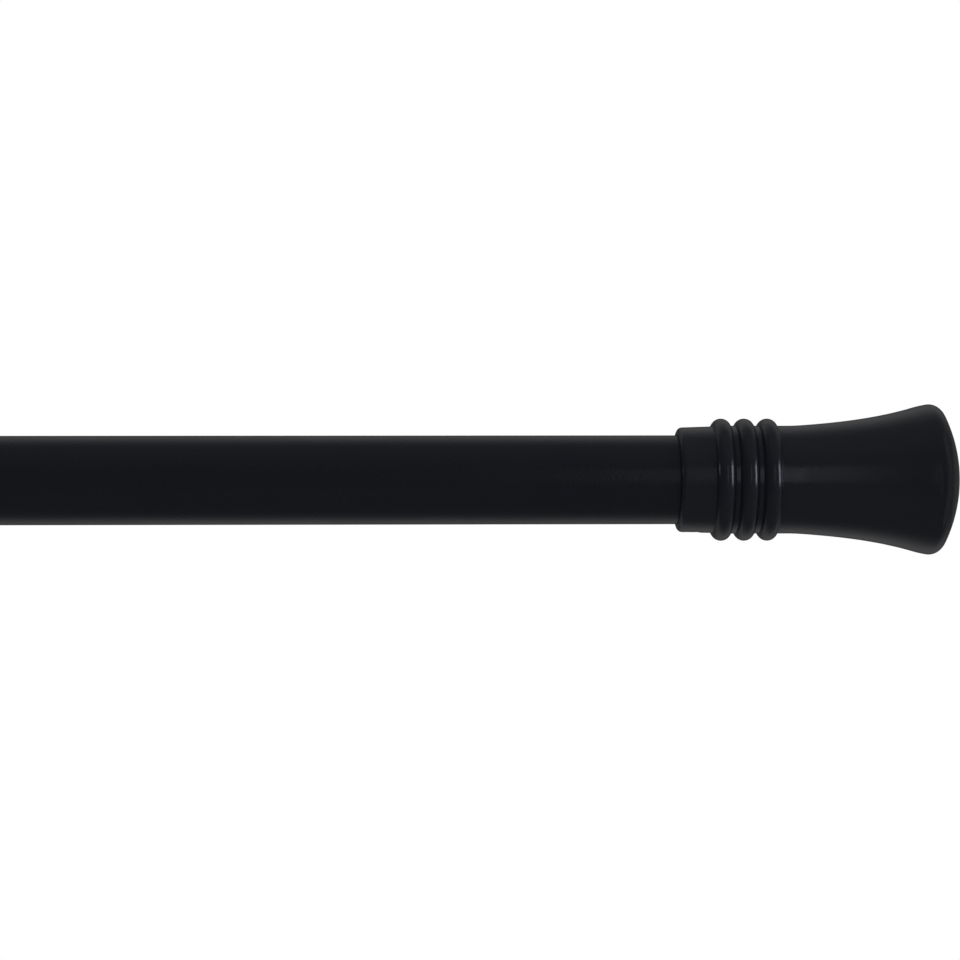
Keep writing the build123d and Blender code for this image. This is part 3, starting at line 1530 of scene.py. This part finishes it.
@dataclass
class Studio:
    """Studio that is white to the camera and, by direction, a dimmer room to reflections.

    Attributes:
        floor_drop: how far the floor lies under the rod, in metres.
        floor_radius: radius of the floor in metres.
        floor_steps: sides of the floor's outline.
        ambient: level of the even light from all round.
        fill: level of the light from the camera's side.
        front: brightness round the camera, as reflections see it.
        left: brightness towards the left end, as reflections see it.
        right: brightness towards the right end, as reflections see it.
        zenith: brightness overhead, as reflections see it.
        nadir: brightness underneath, as reflections see it.
        behind: brightness straight behind the rod, as reflections see it.
        backdrop: brightness behind the rod, high up and low down, as reflections see it.
        fill_edge: Y of the directions between which fill changes to ambient.
        left_edge: X of the directions between which left changes to front.
        right_edge: X of the directions between which front changes to right.
        zenith_edge: Z of the directions between which front changes to zenith.
        nadir_edge: Z of the directions between which nadir changes to front.
        behind_edge: Y of the directions between which the room changes to what is behind.
        backdrop_edge: height of the directions between which behind changes to backdrop.
        lamps: the soft lamps.
        flags: cards that shade the right finial's rim and tip.
    """

    floor_drop: float = 1.0
    floor_radius: float = 4.2
    floor_steps: int = 96
    ambient: float = 0.45
    fill: float = 1.15
    front: float = 0.058
    left: float = 0.035
    right: float = 0.11
    zenith: float = 0.12
    nadir: float = 0.09
    behind: float = 0.075
    backdrop: float = 0.30
    fill_edge: Span = (-0.95, -0.55)
    left_edge: Span = (-0.6, -0.33)
    right_edge: Span = (0.3, 0.8)
    zenith_edge: Span = (0.45, 1.0)
    nadir_edge: Span = (-0.7, -0.15)
    behind_edge: Span = (0.1, 0.7)
    backdrop_edge: Span = (0.2, 0.7)
    lamps: tuple[Softbox, ...] = (
        Softbox("strip_right", way=(66.0, 8.0), distance=0.55, size=(0.17, 0.26), radiance=3.6),
        Softbox("strip_front", way=(8.6, 10.3), distance=0.324, size=(0.036, 0.17), radiance=0.55),
        Softbox("glow_front", way=(1.0, 10.4), distance=0.321, size=(0.05, 0.17), radiance=0.07),
        Softbox(
            "strip_left", way=(-108.0, 14.0), distance=0.55, size=(0.17, 0.26), radiance=3.6, end=End.LEFT
        ),
    )
    flags: tuple[Flag, ...] = (
        Flag("tip_flag", start=(9.0, 33.3), stop=(9.0, 18.0), height=80.0, grey=0.55),
        Flag("rim_flag", start=(-19.4, 150.0), stop=(14.0, 150.0), height=140.0, grey=0.30),
    )

    def build(self, ends: dict[End, FinialEnd]) -> None:
        """Builds floor, world, lamps and flags.

        Args:
            ends: the finials that the lamps face.
        """
        self.floor()
        self.world()
        for lamp in self.lamps:
            lamp.add(Vector((ends[lamp.end].beads_middle() * MM, 0.0, 0.0)))
        for flag in self.flags:
            flag.add(ends[End.RIGHT].extent().high)
        bpy.context.scene.view_settings.view_transform = "Standard"

    def floor(self) -> bpy.types.Object:
        """Adds the round paper floor, which reflections don't see.

        Returns:
            The floor.
        """
        turn = np.linspace(0.0, math.tau, self.floor_steps, endpoint=False)
        rays = [(math.cos(a), math.sin(a)) for a in turn]
        corners = [(self.floor_radius * c, self.floor_radius * s, -self.floor_drop) for c, s in rays]
        mesh = bpy.data.meshes.new("studio_floor")
        mesh.from_pydata(corners, [], [tuple(range(self.floor_steps))])
        mesh.materials.append(StudioPaper("studio_paper").material())
        floor = add_object("studio_floor", mesh)
        floor.visible_glossy = False
        return floor

    def world(self) -> None:
        """Lights the room: white to the camera, dimmer by direction to reflections, and fill in front."""
        world = bpy.data.worlds.new("studio")
        world.use_nodes = True
        bpy.context.scene.world = world
        nodes = NodeGraph(world.node_tree)
        direction = nodes.add("ShaderNodeTexCoord").outputs["Generated"]
        way = nodes.add("ShaderNodeSeparateXYZ", {0: direction}).outputs
        path = nodes.add("ShaderNodeLightPath").outputs
        left = nodes.ramp(way["X"], self.left_edge, (self.left, self.front))
        right = nodes.ramp(way["X"], self.right_edge, (0.0, self.right - self.front))
        above = nodes.ramp(way["Z"], self.zenith_edge, (0.0, self.zenith - self.front))
        below = nodes.ramp(way["Z"], self.nadir_edge, (self.nadir - self.front, 0.0))
        room = nodes.math("ADD", nodes.math("ADD", left, right), nodes.math("ADD", above, below))
        wall = nodes.ramp(nodes.math("ABSOLUTE", way["Z"]), self.backdrop_edge, (self.behind, self.backdrop))
        reflected = nodes.fade(nodes.ramp(way["Y"], self.behind_edge), room, wall)
        given = nodes.ramp(way["Y"], self.fill_edge, (self.fill, self.ambient))
        lit = nodes.fade(path["Is Glossy Ray"], given, reflected)
        white = nodes.math("MAXIMUM", path["Is Camera Ray"], path["Is Transmission Ray"])
        level = nodes.math("MAXIMUM", lit, white)
        background = nodes.add("ShaderNodeBackground", {"Color": WHITE, "Strength": level})
        nodes.add("ShaderNodeOutputWorld", {"Surface": background.outputs[0]})


@dataclass
class PhotoCamera:
    """Camera at the photograph's viewing angle.

    Attributes:
        lens: focal length in millimetres.
        sensor: sensor width in millimetres.
        nearest: least distance that it shows, in metres.
        distance: distance from the aim in metres.
        aim_x: point of the rod in the picture's middle, in metres.
        yaw: turn towards the right end in degrees.
        roll: turn about its own view in degrees.
    """

    lens: float = 93.75
    sensor: float = 36.0
    nearest: float = 0.01
    distance: float = 0.7134
    aim_x: float = 0.34928
    yaw: float = 1.5
    roll: float = 0.07

    def build(self) -> bpy.types.Object:
        """Adds the camera.

        Returns:
            The camera.
        """
        data = bpy.data.cameras.new("photo_camera")
        data.lens = self.lens
        data.sensor_width = self.sensor
        data.sensor_fit = "HORIZONTAL"
        data.clip_start = self.nearest
        camera = add_object("photo_camera", data)
        turn = math.radians(self.yaw)
        forward = Vector((math.sin(turn), math.cos(turn), 0.0))
        level = (-forward).to_track_quat("Z", "Y").to_matrix().to_4x4()
        place = Matrix.Translation(Vector((self.aim_x, 0.0, 0.0)) - forward * self.distance)
        camera.matrix_world = place @ level @ Matrix.Rotation(math.radians(-self.roll), 4, "Z")
        bpy.context.scene.camera = camera
        return camera


def main() -> None:
    """Builds camera, studio and the rod's sub-assemblies in order."""
    logging.basicConfig(level=logging.INFO, format="%(name)s: %(message)s")
    ends = {end: FinialEnd(end) for end in End}
    PhotoCamera().build()
    Studio().build(ends)
    finishes = Finishes()
    for part in (OuterSection(), InnerSection(), *ends.values()):
        for piece in part.build(finishes):
            log.info("%s: %s with %d faces", type(part).__name__, piece.name, len(piece.data.polygons))


if __name__ == "__main__":
    main()
